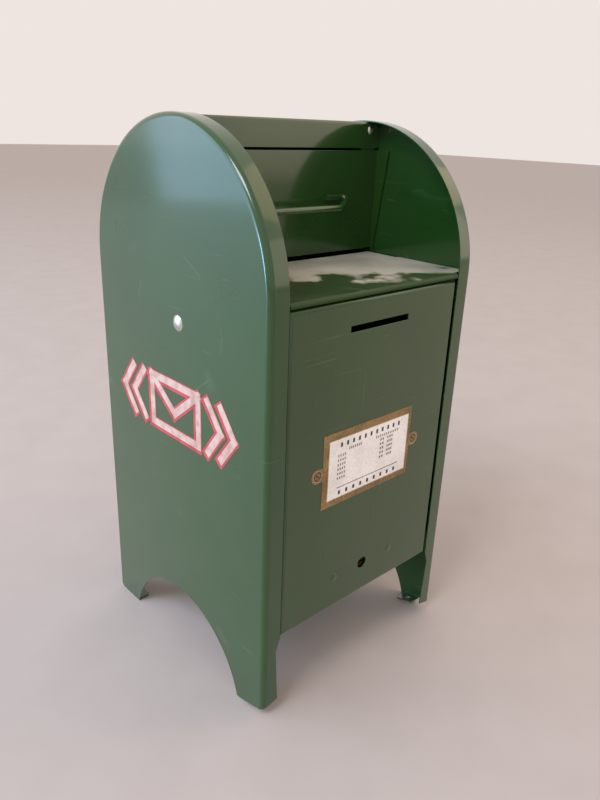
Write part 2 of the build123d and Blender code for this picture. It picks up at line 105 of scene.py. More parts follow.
def stoved_enamel(name, deep, lit, scratched=0.0, dusty=0.0):
    """Green enamel; scratched adds hairlines and arcs round the pivot, dusty greys what lies flat."""
    material, tree, place = new_material(name)
    cloud = add(tree, "ShaderNodeTexNoise", {"Vector": place, "Scale": 24.0, "Detail": 4.0})
    tone = add(tree, "ShaderNodeMix", {0: cloud, 6: linear(deep), 7: linear(lit)}, out=2,
               data_type="RGBA")

    lines = []
    for stretch, turn in (((700, 26, 30), (0.9, 0.2, 0.35)), ((30, 40, 800), (0.5, 0.6, -0.3))):
        drawn = add(tree, "ShaderNodeMapping", {"Vector": place, "Scale": stretch, "Rotation": turn})
        streak = add(tree, "ShaderNodeTexNoise", {"Vector": drawn, "Scale": 1.0, "Detail": 1.0,
                                                  "Distortion": 0.6})
        lines.append(add(tree, "ShaderNodeValToRGB", {"Fac": streak}, stops=[(0.73, 0.0), (0.77, 1.0)]))
    hairlines = add(tree, "ShaderNodeMath", {0: lines[0], 1: lines[1]}, operation="MAXIMUM")
    faint = add(tree, "ShaderNodeMath", {0: hairlines, 1: 0.06}, operation="MULTIPLY")
    if scratched:
        along = add(tree, "ShaderNodeSeparateXYZ", {"Vector": place}, out="Y")
        height = add(tree, "ShaderNodeSeparateXYZ", {"Vector": place}, out="Z")
        flat = add(tree, "ShaderNodeCombineXYZ", {"Y": along, "Z": height})
        reach = add(tree, "ShaderNodeVectorMath", {0: flat, 1: (0, pivot_y, pivot_z)}, out="Value",
                    operation="DISTANCE")
        wander = add(tree, "ShaderNodeTexNoise", {"Vector": place, "Scale": 30.0, "Detail": 1.0})
        wander = add(tree, "ShaderNodeMath", {0: wander, 1: arc_wander}, operation="MULTIPLY")
        reach = add(tree, "ShaderNodeMath", {0: reach, 1: wander}, operation="ADD")
        ring = add(tree, "ShaderNodeMath", {0: reach, 1: arc_radius, 2: arc_half_width},
                   operation="COMPARE")
        broken = add(tree, "ShaderNodeTexNoise", {"Vector": place, "Scale": 60.0, "Detail": 2.0})
        broken = add(tree, "ShaderNodeValToRGB", {"Fac": broken}, stops=[(0.50, 0.0), (0.58, 1.0)])
        arcs = add(tree, "ShaderNodeMath", {0: ring, 1: broken}, operation="MULTIPLY")
        faint = add(tree, "ShaderNodeMath", {0: arcs, 1: scratched, 2: faint}, operation="MULTIPLY_ADD")
    tone = add(tree, "ShaderNodeMix", {0: faint, 6: tone, 7: linear("#a5b0a0")}, out=2, data_type="RGBA")

    grain = add(tree, "ShaderNodeTexNoise", {"Vector": place, "Scale": 260.0, "Detail": 5.0,
                                             "Roughness": 0.62})
    rounded = add(tree, "ShaderNodeBevel", {"Radius": 0.7 * MM}, samples=4)
    facing = add(tree, "ShaderNodeNewGeometry", out="Normal")
    turned_off = add(tree, "ShaderNodeVectorMath", {0: rounded, 1: facing}, out="Value",
                     operation="DOT_PRODUCT")
    edges = add(tree, "ShaderNodeValToRGB", {"Fac": turned_off}, stops=[(0.80, 0.15), (0.97, 0.0)])
    rubbed = add(tree, "ShaderNodeMath", {0: grain, 1: edges}, operation="ADD")
    chips = add(tree, "ShaderNodeValToRGB", {"Fac": rubbed}, stops=[(0.80, 0.0), (0.81, 1.0)])
    tone = add(tree, "ShaderNodeMix", {0: chips, 6: tone, 7: linear("#8b8471")}, out=2, data_type="RGBA")

    smudge = add(tree, "ShaderNodeTexNoise", {"Vector": place, "Scale": 38.0, "Detail": 6.0})
    rough = add(tree, "ShaderNodeValToRGB", {"Fac": smudge}, stops=[(0.30, 0.26), (0.75, 0.40)])
    if dusty:
        lying = add(tree, "ShaderNodeSeparateXYZ", {"Vector": facing}, out="Z")
        lying = add(tree, "ShaderNodeValToRGB", {"Fac": lying}, stops=[(0.80, 0.0), (0.98, dusty)])
        away = add(tree, "ShaderNodeVectorMath", {0: place, 1: (0.45, 0.90, 0.0)}, out="Value",
                   operation="DOT_PRODUCT")
        ragged = add(tree, "ShaderNodeTexNoise", {"Vector": place, "Scale": 75.0, "Detail": 6.0})
        ragged = add(tree, "ShaderNodeMath", {0: ragged, 1: dust_raggedness, 2: away},
                     operation="MULTIPLY_ADD")
        swept = add(tree, "ShaderNodeMapRange",
                    {"Value": ragged, "From Min": dust_edge_low, "From Max": dust_edge_high,
                     "To Min": 0.06, "To Max": 1.0})
        film = add(tree, "ShaderNodeMath", {0: swept, 1: lying}, operation="MULTIPLY")
        patchy = add(tree, "ShaderNodeValToRGB", {"Fac": smudge}, stops=[(0.32, 0.62), (0.62, 1.0)])
        film = add(tree, "ShaderNodeMath", {0: film, 1: patchy}, operation="MULTIPLY")
        tone = add(tree, "ShaderNodeMix", {0: film, 6: tone, 7: linear("#b4ae9d")}, out=2,
                   data_type="RGBA")
        rough = add(tree, "ShaderNodeMix", {0: film, 2: rough, 3: 0.745})

    peel = add(tree, "ShaderNodeTexNoise", {"Vector": place, "Scale": 650.0, "Detail": 2.0})
    peel = add(tree, "ShaderNodeBump", {"Height": peel, "Strength": 0.06, "Distance": 0.05 * MM})
    ripple = add(tree, "ShaderNodeTexNoise", {"Vector": place, "Scale": 16.0, "Detail": 0.5})
    wave = add(tree, "ShaderNodeBump", {"Height": ripple, "Normal": peel, "Strength": 0.5,
                                        "Distance": 1.2 * MM})
    shader = add(tree, "ShaderNodeBsdfPrincipled",
                 {"Base Color": tone, "Roughness": rough, "Normal": wave, "IOR": 1.5,
                  "Specular IOR Level": 0.28, "Coat Weight": 0.0 if dusty else 1.0,
                  "Coat Roughness": 0.10})
    add(tree, "ShaderNodeOutputMaterial", {"Surface": shader})
    return material


def chain(bm, start, *points):
    """Draws straight edges on from a vertex and gives the last vertex."""
    for point in points:
        end = bm.verts.new(point)
        bm.edges.new((start, end))
        start = end
    return start


def arc(bm, start, centre, angle, steps, axis=(1, 0, 0)):
    """Draws an arc on from a vertex and gives the last vertex."""
    spun = bmesh.ops.spin(bm, geom=[start], cent=centre, axis=axis, angle=angle, steps=steps)
    return next(part for part in spun["geom_last"] if isinstance(part, bmesh.types.BMVert))


def loop(bm, segments, matrix):
    """Draws a closed loop, a unit circle or fewer-sided figure put in place, and gives its edges."""
    ring = bmesh.ops.create_circle(bm, segments=segments, radius=1.0, matrix=matrix)["verts"]
    return list({edge for vert in ring for edge in vert.link_edges})


def drawn_out(bm, edges, vector):
    """Extrudes edges along a vector and gives the new edges."""
    grown = bmesh.ops.extrude_edge_only(bm, edges=edges)["geom"]
    moved = [part for part in grown if isinstance(part, bmesh.types.BMVert)]
    bmesh.ops.translate(bm, verts=moved, vec=vector)
    return [part for part in grown if isinstance(part, bmesh.types.BMEdge) and part.is_boundary]


def bent(bm, edges, radius):
    """Rounds folds to a bend radius."""
    bmesh.ops.bevel(bm, geom=edges, offset=radius, offset_type="OFFSET", segments=BEND_STEPS,
                    profile=0.5, affect="EDGES", clamp_overlap=False, material=-1)


def punched(bm, face, hole_edges):
    """Fills a face's outline again with holes left out."""
    outline = list(face.edges)
    bmesh.ops.delete(bm, geom=[face], context="FACES_ONLY")
    bmesh.ops.triangle_fill(bm, use_beauty=True, use_dissolve=False, edges=outline + hole_edges)


def thickened(bm, outward, raw_edge=0.1 * MM):
    """Gives a skin its sheet thickness, inwards, and breaks the raw edges."""
    bmesh.ops.remove_doubles(bm, verts=bm.verts, dist=0.002 * MM)
    bmesh.ops.recalc_face_normals(bm, faces=bm.faces)
    broad = max(bm.faces, key=lambda face: face.calc_area())
    if broad.normal.dot(outward) < 0:
        bmesh.ops.reverse_faces(bm, faces=bm.faces)
    bmesh.ops.solidify(bm, geom=bm.faces[:], thickness=SHEET)
    break_edges(bm, raw_edge)


def break_edges(bm, width):
    """Takes the sharpness off every square edge."""
    square = [edge for edge in bm.edges if edge.calc_face_angle(0) > radians(55)]
    bmesh.ops.bevel(bm, geom=square, offset=width, offset_type="OFFSET", segments=2, profile=0.5,
                    affect="EDGES", clamp_overlap=True, material=-1)


def piece(name, bm, material, body, replaced=()):
    """Finishes a mesh as an object: bends shaded smooth, folds crisp, and large faces weighing most."""
    bmesh.ops.remove_doubles(bm, verts=bm.verts, dist=0.0005 * MM)
    for face in bm.faces:
        face.smooth = True
    for edge in bm.edges:
        edge.smooth = edge.calc_face_angle(0) < radians(38)
    mesh = bpy.data.meshes.new(name)
    bm.to_mesh(mesh)
    bm.free()
    mesh.materials.append(material)
    made = bpy.data.objects.new(name, mesh)
    bpy.context.scene.collection.objects.link(made)
    made.modifiers.new("weighted_normals", "WEIGHTED_NORMAL").keep_sharp = True
    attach(made, body)
    if replaced:
        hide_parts(*replaced)
    return made


panel_bend = 2.5 * MM
arch_half, arch_height = 41.5 * MM, 31.5 * MM
leg_arch_radius = (arch_half ** 2 + arch_height ** 2) / (2 * arch_height)
heel_radius = 2.0 * MM
toe_rise, toe_length, toe_flange_rise = 4.5 * MM, 16.0 * MM, 2.0 * MM
foot_width, foot_length, foot_setback = 6.0 * MM, 10.5 * MM, 1.0 * MM
foot_hole_radius, foot_corner = 1.5 * MM, 1.5 * MM
knee_top_z, knee_z = 38.0 * MM, 32.0 * MM
knee_cut, toe_cut = 2.0 * MM, 0.6 * MM


def foot_tab(bm, start, end, side):
    """Folds a drilled tab in from the sole's edge between two vertices."""
    fold = bm.edges.get((start, end))
    middle = (start.co + end.co) / 2
    sole = (end.co - start.co).normalized()
    inward = Vector((-side, 0, 0))
    grown = bmesh.ops.extrude_edge_only(bm, edges=[fold])["geom"]
    corners = [part for part in grown if isinstance(part, bmesh.types.BMVert)]
    bmesh.ops.translate(bm, verts=corners, vec=inward * (SHEET + foot_width))
    bmesh.ops.bevel(bm, geom=corners, offset=foot_corner, offset_type="OFFSET", segments=4, profile=0.5,
                    affect="VERTICES", clamp_overlap=True, material=-1)
    tab = min(fold.link_faces, key=lambda face: face.calc_area())
    hole = Matrix.Translation(middle + inward * (SHEET + foot_width / 2))
    turn = sole.cross(inward).to_track_quat("Z", "Y").to_matrix().to_4x4()
    punched(bm, tab, loop(bm, 20, hole @ turn @ Matrix.Scale(foot_hole_radius, 4)))


def side_pan(side):
    """One pressed side, from its outline inwards."""
    x = side * panel_x
    bm = bmesh.new()
    toe = bm.verts.new((x, front_y, toe_rise))
    crown = arc(bm, chain(bm, toe, (x, front_y, spring_z)), (x, 0, spring_z), -pi, 72)
    heel = chain(bm, crown, (x, back_y, heel_radius))
    rim = bm.edges[:]
    heel = arc(bm, heel, (x, back_y - heel_radius, heel_radius), -pi / 2, 5)
    rear_out = chain(bm, heel, (x, arch_half + foot_setback + foot_length, 0))
    rear_in = chain(bm, rear_out, (x, arch_half + foot_setback, 0))
    arch_start = chain(bm, rear_in, (x, arch_half, 0))
    arch_sweep = 2 * asin(arch_half / leg_arch_radius)
    arch_end = arc(bm, arch_start, (x, 0, arch_height - leg_arch_radius), arch_sweep, 40)
    front_in = chain(bm, arch_end, (x, front_y + toe_length, 0))
    slope = (toe.co - front_in.co).normalized()
    front_out = chain(bm, front_in, front_in.co + slope * foot_length)
    bm.edges.new((front_out, toe))
    bmesh.ops.contextual_create(bm, geom=bm.edges[:])

    grown = bmesh.ops.extrude_edge_only(bm, edges=rim)["geom"]
    free = [part for part in grown if isinstance(part, bmesh.types.BMVert)]
    bmesh.ops.translate(bm, verts=free, vec=(-side * flange_width, 0, 0))
    front = [vert for vert in free if vert.co.y < front_y + TOUCHING]
    front.sort(key=lambda vert: vert.co.z)
    flange_x = front[0].co.x
    knee = bmesh.utils.edge_split(bm.edges.get((front[0], front[-1])), front[-1], 0.5)[1]
    knee_top = bmesh.utils.edge_split(bm.edges.get((knee, front[-1])), front[-1], 0.5)[1]
    knee_top.co = (flange_x, front_y, knee_top_z)
    knee.co = (flange_x + side * knee_cut, front_y, knee_z)
    front[0].co = (flange_x + side * toe_cut, front_y, toe_rise + toe_flange_rise)
    bent(bm, rim, panel_bend)
    foot_tab(bm, rear_out, rear_in, side)
    foot_tab(bm, front_in, front_out, side)
    thickened(bm, Vector((side, 0, 0)))
    for vert in bm.verts:
        vert.co.z = max(vert.co.z, 0.0)
    return bm


# The sides' two greens are a little bluer than the sheets': painted cool light from the window on the
# left.
side_enamel = stoved_enamel("stoved_enamel_sides", "#183c13", "#1f491a", scratched=0.10)
sheet_enamel = stoved_enamel("stoved_enamel_sheets", "#183a0e", "#214612")
for side, name in ((-1, "left"), (1, "right")):
    pan = side_pan(side)
    piece(f"{name}_side_pan", pan, side_enamel, "shell", [f"{name}_side_panel"])


# ---- Side marks --------------------------------------------------------------------------------------
# A generic envelope between chevrons, screen-printed on both sides in two passes: a red ground that
# shows as an outline and as a drop shadow to the lower rear, then thin cream ink, slightly worn.
mark_y, mark_z = 0.75 * MM, 121.5 * MM
envelope_half, envelope_rise, flap_drop = 17.0 * MM, 10.8 * MM, 2.2 * MM
chevron_inner, chevron_step, chevron_point = 23.5 * MM, 8.6 * MM, 8.4 * MM
stroke_width, outline_width = 3.3 * MM, 1.0 * MM
shadow_back, shadow_down = 1.1 * MM, 1.1 * MM
ink, overprint = 0.03 * MM, 0.002 * MM


def printing_ink(name, deep, worn):
    """Matt ink on enamel: an uneven film, worn darker in spots of about 5 mm."""
    material, tree, place = new_material(name)
    film = add(tree, "ShaderNodeTexNoise", {"Vector": place, "Scale": 180.0, "Detail": 6.0,
                                            "Roughness": 0.6})
    tone = add(tree, "ShaderNodeValToRGB", {"Fac": film},
               stops=[(0.36, linear(worn)), (0.56, linear(deep))])
    rough = add(tree, "ShaderNodeValToRGB", {"Fac": film}, stops=[(0.30, 0.34), (0.70, 0.50)])
    shader = add(tree, "ShaderNodeBsdfPrincipled", {"Base Color": tone, "Roughness": rough, "IOR": 1.48})
    add(tree, "ShaderNodeOutputMaterial", {"Surface": shader})
    return material


def stroke(bm, start, end, width, depth):
    """A straight printed stroke between two points of the side's plane, as a thin raised film."""
    start, end = Vector((0, *start)), Vector((0, *end))
    along = (end - start).normalized()
    across = Vector((1, 0, 0)).cross(along)
    verts = bmesh.ops.create_cube(bm, size=1.0)["verts"]
    turn = Matrix((Vector((1, 0, 0)), along, across)).transposed().to_4x4()
    size = Matrix.Diagonal((depth, (end - start).length + width, width, 1.0))
    bmesh.ops.transform(bm, verts=verts, matrix=Matrix.Translation((start + end) / 2) @ turn @ size)


def side_mark(side, width, proud, shift):
    """All strokes of the mark, at one width, standing a little proud of the panel."""
    bm = bmesh.new()
    low, high = mark_z - envelope_rise, mark_z + envelope_rise
    left, right = mark_y - envelope_half, mark_y + envelope_half
    corners = [(left, low), (left, high), (right, high), (right, low)]
    lines = list(zip(corners, corners[1:] + corners[:1]))
    flap = (mark_y, mark_z - flap_drop)
    lines += [((left, high), flap), (flap, (right, high))]
    for way in (-1, 1):
        for reach in (chevron_inner, chevron_inner + chevron_step):
            point = (mark_y + way * (reach + chevron_point), mark_z)
            for end_z in (low, high):
                lines.append(((mark_y + way * reach, end_z), point))
    for layer, (start, end) in enumerate(lines):
        stroke(bm, start, end, width, 2 * proud + layer * overprint)
    bmesh.ops.translate(bm, verts=bm.verts, vec=(side * panel_x, shift[0], shift[1]))
    return bm


cream_ink = printing_ink("cream_screen_ink", "#d4b1a4", "#b98f82")
red_ink = printing_ink("red_screen_ink", "#c4484c", "#a8383c")
for side, name in ((-1, "left"), (1, "right")):
    ground = side_mark(side, stroke_width + 2 * outline_width, ink, (shadow_back / 2, -shadow_down / 2))
    face = side_mark(side, stroke_width, 2 * ink, (0, 0))
    piece(f"{name}_mark_ground", ground, red_ink, "shell")
    piece(f"{name}_mark_face", face, cream_ink, "shell")


# ---- Roof and back -----------------------------------------------------------------------------------
# One sheet over the top and down the back, spot-welded inside the side flanges. Its front edge is
# turned down as a stiff strip, which runs out to the side panels and is riveted at both corners.
cover_low, cover_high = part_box("roof_back_cover")
cover_radius = cover_high.y
roof_bend = 1.2 * MM
seat_slack = 0.05 * MM
hopper_gap = 1.0 * MM
strip_foot_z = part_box("mail_door")[1].z + hopper_gap
strip_end_z = crown_z - panel_bend - seat_slack
cover_half = panel_x - panel_bend - seat_slack


def roof_sheet():
    """The sheet's outer skin, drawn as an outline and pulled across, then thickened."""
    bm = bmesh.new()
    strip_foot = bm.verts.new((-cover_half, cover_low.y, strip_foot_z))
    strip_end = chain(bm, strip_foot, (-cover_half, cover_low.y, strip_end_z))
    top_z = spring_z + (cover_radius ** 2 - cover_low.y ** 2) ** 0.5
    corner = chain(bm, strip_end, (-cover_half, cover_low.y, top_z))
    sweep = pi / 2 + asin(-cover_low.y / cover_radius)
    end = arc(bm, corner, (-cover_half, 0, spring_z), -sweep, 44)
    chain(bm, end, (-cover_half, cover_radius, cover_low.z))
    strip = bm.edges.get((strip_foot, strip_end))
    drawn_out(bm, bm.edges[:], (2 * cover_half, 0, 0))
    fold = [edge for edge in corner.link_edges
            if abs(edge.verts[0].co.x - edge.verts[1].co.x) > cover_half]
    wing = cover_high.x - cover_half
    far_strip = next(edge for edge in bm.edges if edge.is_boundary and edge.verts[0].co.x > 0
                     and max(vert.co.y for vert in edge.verts) < cover_low.y + TOUCHING
                     and max(vert.co.z for vert in edge.verts) < strip_end_z + TOUCHING)
    drawn_out(bm, [strip], (-wing, 0, 0))
    drawn_out(bm, [far_strip], (wing, 0, 0))
    bent(bm, fold, roof_bend)
    thickened(bm, Vector((0, 1, 0)))
    return bm


piece("roof_back_sheet", roof_sheet(), sheet_enamel, "shell", ["roof_back_cover"])


# ---- Shelf, floor and corner lugs --------------------------------------------------------------------
# Flat blanked sheets between the sides, with folded lips. The shelf is the dusty one: a grey film lies
# on its rear and right, and the front left is rubbed clean. Every cut edge is slightly broken.
dusty_enamel = stoved_enamel("stoved_enamel_dusty", "#18360e", "#203f12", dusty=0.95)


def blanked(name):
    """A CAD sheet's shape as one clean mesh with its edges broken."""
    bm = bmesh.new()
    bm.from_mesh(nodes[name].data)
    bmesh.ops.remove_doubles(bm, verts=bm.verts, dist=0.001 * MM)
    bmesh.ops.dissolve_limit(bm, angle_limit=radians(0.5), verts=bm.verts, edges=bm.edges)
    break_edges(bm, 0.1 * MM)
    return bm


for name, node, material in (("shelf_sheet", "shelf", dusty_enamel),
                             ("floor_sheet", "base_plate", sheet_enamel),
                             ("corner_lugs", "roof_corner_lugs", sheet_enamel)):
    piece(name, blanked(node), material, "shell", [node])


# ---- Front door --------------------------------------------------------------------------------------
# A shallow pan with a coin slot and a keyhole punched through its face. It hangs on a wire through its
# side flanges, just under the shelf. Two low rivets beside the keyhole are painted over with it.
door_low, door_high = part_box("front_door")
door_bend = 2.0 * MM
slot_half, slot_rise, slot_drop = 16.5 * MM, 1.25 * MM, 11.25 * MM
keyhole_radius = 2.65 * MM
keyhole_z = (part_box("lock_barrel")[0].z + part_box("lock_barrel")[1].z) / 2


def door_pan():
    """The door's skin from its face backwards, punched and thickened."""
    bm = bmesh.new()
    face_y = door_low.y
    first = bm.verts.new((door_low.x, face_y, door_low.z))
    last = chain(bm, first, (door_high.x, face_y, door_low.z), (door_high.x, face_y, door_high.z),
                 (door_low.x, face_y, door_high.z))
    bm.edges.new((last, first))
    rim = bm.edges[:]
    bmesh.ops.contextual_create(bm, geom=rim)
    drawn_out(bm, rim, (0, door_high.y - door_low.y, 0))
    bent(bm, rim, door_bend)
    face = max(bm.faces, key=lambda face: face.calc_area())
    upright = Matrix.Rotation(pi / 2, 4, "X")
    stretch = Matrix.Diagonal((slot_half * sqrt(2), slot_rise * sqrt(2), 1.0, 1.0))
    slot = Matrix.Translation((0, face_y, door_high.z - slot_drop)) @ upright @ stretch
    holes = loop(bm, 4, slot @ Matrix.Rotation(pi / 4, 4, "Z"))
    keyhole = Matrix.Translation((0, face_y, keyhole_z)) @ upright
    holes += loop(bm, 28, keyhole @ Matrix.Scale(keyhole_radius, 4))
    punched(bm, face, holes)
    thickened(bm, Vector((0, -1, 0)), raw_edge=0.14 * MM)
    return bm


def turned(profile, place, toward, steps=32):
    """Spins a profile of (radius, height) points to a solid that stands on a place."""
    bm = bmesh.new()
    first = bm.verts.new((profile[0][0], 0, profile[0][1]))
    chain(bm, first, *[(radius, 0, height) for radius, height in profile[1:]])
    bmesh.ops.spin(bm, geom=bm.verts[:] + bm.edges[:], cent=(0, 0, 0), axis=(0, 0, 1), angle=2 * pi,
                   steps=steps, use_merge=True)
    bmesh.ops.remove_doubles(bm, verts=bm.verts, dist=0.005 * MM)
    bmesh.ops.recalc_face_normals(bm, faces=bm.faces)
    turn = Vector(toward).to_track_quat("Z", "Y").to_matrix().to_4x4()
    bmesh.ops.transform(bm, verts=bm.verts, matrix=Matrix.Translation(place) @ turn)
    return bm


def domed(radius, height, steps=7):
    """Profile of a rivet's head from its crown to its rim."""
    ball = (radius ** 2 + height ** 2) / (2 * height)
    sweep = asin(radius / ball)
    angles = [sweep * step / steps for step in range(steps + 1)]
    return [(ball * sin(angle), ball * cos(angle) - ball + height) for angle in angles]


def joined(parts):
    """Puts several meshes into one."""
    whole = bmesh.new()
    for part in parts:
        mesh = bpy.data.meshes.new("part")
        part.to_mesh(mesh)
        part.free()
        whole.from_mesh(mesh)
        bpy.data.meshes.remove(mesh)
    return whole


piece("front_door_pan", door_pan(), sheet_enamel, "collection_door", ["front_door"])
lock_rivet_low, lock_rivet_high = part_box("lock_rivets")
lock_rivet_radius = (lock_rivet_high.z - lock_rivet_low.z) / 2
lock_rivet_x = lock_rivet_high.x - lock_rivet_radius
lock_head_height, lock_head_seat, lock_shank_radius = 0.25 * MM, 0.1 * MM, 1.2 * MM
lock_grip, lock_tail_end = 1.4 * MM, 2.0 * MM
lock_rivet_profile = domed(lock_rivet_radius, lock_head_height) + [
    (lock_shank_radius, -lock_head_seat), (lock_shank_radius, -lock_grip),
    (lock_rivet_radius, -lock_grip), (lock_rivet_radius, -lock_tail_end), (0.0, -lock_tail_end)]
lock_rivets = joined([turned(lock_rivet_profile, (x, door_low.y, keyhole_z), (0, -1, 0), 24)
                      for x in (-lock_rivet_x, lock_rivet_x)])
piece("lock_rivet_pair", lock_rivets, sheet_enamel, "collection_door", ["lock_rivets"])


# ---- Lock, hinge wire, cups and washers --------------------------------------------------------------
# The lock hides behind the door: a bracket and a cup of bare tinplate, and a turned brass barrel with
# a cam and a nut. The hinge wire is drawn steel, in cups drawn from the same tinplate.
def bare_tinplate():
    """Rolled steel with a thin tin coat: pale grey, faint rolling lines, dull spots of oxide."""
    material, tree, place = new_material("bare_tinplate")
    rolled = add(tree, "ShaderNodeMapping", {"Vector": place, "Scale": (60, 900, 900)})
    lines = add(tree, "ShaderNodeTexNoise", {"Vector": rolled, "Scale": 1.0, "Detail": 3.0})
    spots = add(tree, "ShaderNodeTexNoise", {"Vector": place, "Scale": 120.0, "Detail": 5.0})
    tone = add(tree, "ShaderNodeValToRGB", {"Fac": spots},
               stops=[(0.35, linear("#8d8a84")), (0.65, linear("#b4b2ac"))])
    rough = add(tree, "ShaderNodeValToRGB", {"Fac": spots}, stops=[(0.35, 0.46), (0.65, 0.30)])
    scored = add(tree, "ShaderNodeBump", {"Height": lines, "Strength": 0.15, "Distance": 0.02 * MM})
    shader = add(tree, "ShaderNodeBsdfPrincipled",
                 {"Base Color": tone, "Roughness": rough, "Normal": scored, "Metallic": 1.0})
    add(tree, "ShaderNodeOutputMaterial", {"Surface": shader})
    return material


def turned_brass():
    """Turned free-cutting brass with tool rings: tarnished brown, painted darker as shade for the plug
    in the keyhole, yellower in patches.
    """
    material, tree, place = new_material("turned_brass")
    tarnish_and_shade = add(tree, "ShaderNodeTexNoise", {"Vector": place, "Scale": 260.0, "Detail": 5.0})
    # Both stops are far darker than brass: painted shade for the plug deep inside the keyhole.
    tone = add(tree, "ShaderNodeValToRGB", {"Fac": tarnish_and_shade},
               stops=[(0.35, linear("#1f190e")), (0.62, linear("#52401f"))])
    rough = add(tree, "ShaderNodeValToRGB", {"Fac": tarnish_and_shade}, stops=[(0.35, 0.48), (0.65, 0.28)])
    centred = add(tree, "ShaderNodeMapping", {"Vector": place, "Location": (0, 0, -keyhole_z)})
    rings = add(tree, "ShaderNodeTexWave", {"Vector": centred, "Scale": 700.0, "Distortion": 0.4},
                wave_type="RINGS", rings_direction="Y")
    cut = add(tree, "ShaderNodeBump", {"Height": rings, "Strength": 0.12, "Distance": 0.02 * MM})
    shader = add(tree, "ShaderNodeBsdfPrincipled",
                 {"Base Color": tone, "Roughness": rough, "Normal": cut, "Metallic": 1.0})
    add(tree, "ShaderNodeOutputMaterial", {"Surface": shader})
    return material


tinplate = bare_tinplate()
brass = turned_brass()
for name, node, material, body, slot in (
        ("lock_bracket_strap", "lock_bracket", tinplate, "collection_door", "plain_steel"),
        ("lock_cup", "lock_case", tinplate, "collection_door", "plain_steel"),
        ("lock_plug", "lock_barrel", brass, "lock", "lock_brass"),
        ("lock_tongue", "lock_cam", tinplate, "lock", "plain_steel"),
        ("lock_hex_nut", "lock_nut", brass, "lock", "lock_brass"),
        ("hinge_wire", "door_hinge_wire", tinplate, "shell", "plain_steel"),
        ("wire_cups", "hinge_cups", tinplate, "shell", "plain_steel"),
        ("arm_washers", "pivot_washers", tinplate, "shell", "plain_steel")):
    piece(name, blanked(node), material, body, [node])


# ---- Label -------------------------------------------------------------------------------------------
# A thin lithographed plate: a gold-brown frame with a paler rule along its inside, a cream field with
# rows of plain dashes for a timetable, and a printed screw on each round lug. Nothing on it reads.
label_low, label_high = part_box("label_plate")
lug_radius, lug_reach, neck_half = 3.3 * MM, 2.6 * MM, 2.838 * MM
label_left = label_low.x + lug_radius + lug_reach
label_right = label_high.x - lug_radius - lug_reach
label_middle = (label_low + label_high) / 2
field_left, field_right = label_left + 3.3 * MM, label_right - 2.0 * MM
field_bottom, field_top = label_low.z + 3.0 * MM, label_high.z - 3.4 * MM
heading_z, column_head_z, first_row_z = field_top - 2.6 * MM, field_top - 5.4 * MM, field_top - 7.2 * MM
row_pitch = 2.0 * MM
foot_row_z, rule_low_z, rule_high_z = (field_bottom + rise * MM for rise in (2.0, 4.3, 4.6))
pale_rule, pale_ring, screw_shade, screw_head = 0.35 * MM, 2.5 * MM, 2.1 * MM, 1.5 * MM
cut_half_length, cut_half_width = 1.4 * MM, 0.25 * MM
film = 0.02 * MM


def litho_print(name, deep, pale, rough):
    """Satin litho colour on tinplate: real dots are too fine to show, so these are about 1 mm apart."""
    material, tree, place = new_material(name)
    dots = add(tree, "ShaderNodeTexNoise", {"Vector": place, "Scale": 900.0, "Detail": 3.0})
    stain = add(tree, "ShaderNodeTexNoise", {"Vector": place, "Scale": 110.0, "Detail": 5.0})
    both = add(tree, "ShaderNodeMath", {0: dots, 1: stain}, operation="MULTIPLY")
    tone = add(tree, "ShaderNodeValToRGB", {"Fac": both},
               stops=[(0.16, linear(deep)), (0.32, linear(pale))])
    gloss = add(tree, "ShaderNodeValToRGB", {"Fac": stain},
                stops=[(0.3, rough - 0.06), (0.7, rough + 0.08)])
    shader = add(tree, "ShaderNodeBsdfPrincipled", {"Base Color": tone, "Roughness": gloss, "IOR": 1.5})
    add(tree, "ShaderNodeOutputMaterial", {"Surface": shader})
    return material


def panel_rect(bm, x0, x1, z0, z1, proud):
    """A printed rectangle that stands a film's thickness proud of the label; gives its vertices."""
    verts = bmesh.ops.create_cube(bm, size=1.0)["verts"]
    size = Matrix.Diagonal((abs(x1 - x0), 2 * proud, abs(z1 - z0), 1.0))
    place = Matrix.Translation(((x0 + x1) / 2, label_low.y, (z0 + z1) / 2))
    bmesh.ops.transform(bm, verts=verts, matrix=place @ size)
    return verts


def label_blank():
    """The plate itself, a rectangle with a round lug at each side."""
    bm = bmesh.new()
    face_y, middle_z = label_high.y, label_middle.z
    last = bm.verts.new((label_left, face_y, label_low.z))
    for side, x, near_z, far_z in ((1, label_right, label_low.z, label_high.z),
                                   (-1, label_left, label_high.z, label_low.z)):
        lug_x = x + side * lug_reach
        last = chain(bm, last, (x, face_y, near_z), (x, face_y, middle_z - side * neck_half),
                     (lug_x, face_y, middle_z - side * lug_radius))
        last = arc(bm, last, (lug_x, face_y, middle_z), pi, 14, axis=(0, -1, 0))
        last = chain(bm, last, (x, face_y, middle_z + side * neck_half), (x, face_y, far_z))
    bmesh.ops.remove_doubles(bm, verts=bm.verts, dist=0.001 * MM)
    bmesh.ops.contextual_create(bm, geom=bm.edges[:])
    grown = bmesh.ops.extrude_face_region(bm, geom=bm.faces[:])["geom"]
    bmesh.ops.translate(bm, verts=[part for part in grown if isinstance(part, bmesh.types.BMVert)],
                        vec=(0, label_low.y - label_high.y, 0))
    bmesh.ops.recalc_face_normals(bm, faces=bm.faces)
    break_edges(bm, 0.05 * MM)
    return bm


def across(share):
    """A place across the field, as a share of its width from the left."""
    return field_left + share * (field_right - field_left)


def dashes(bm, first, last, z, count, width, height):
    """A row of evenly spaced dashes between two shares of the field's width, sized in millimetres."""
    for index in range(count):
        x = across(first + (last - first) * index / (count - 1))
        panel_rect(bm, x - width * MM / 2, x + width * MM / 2, z - height * MM / 2, z + height * MM / 2,
                   3 * film)


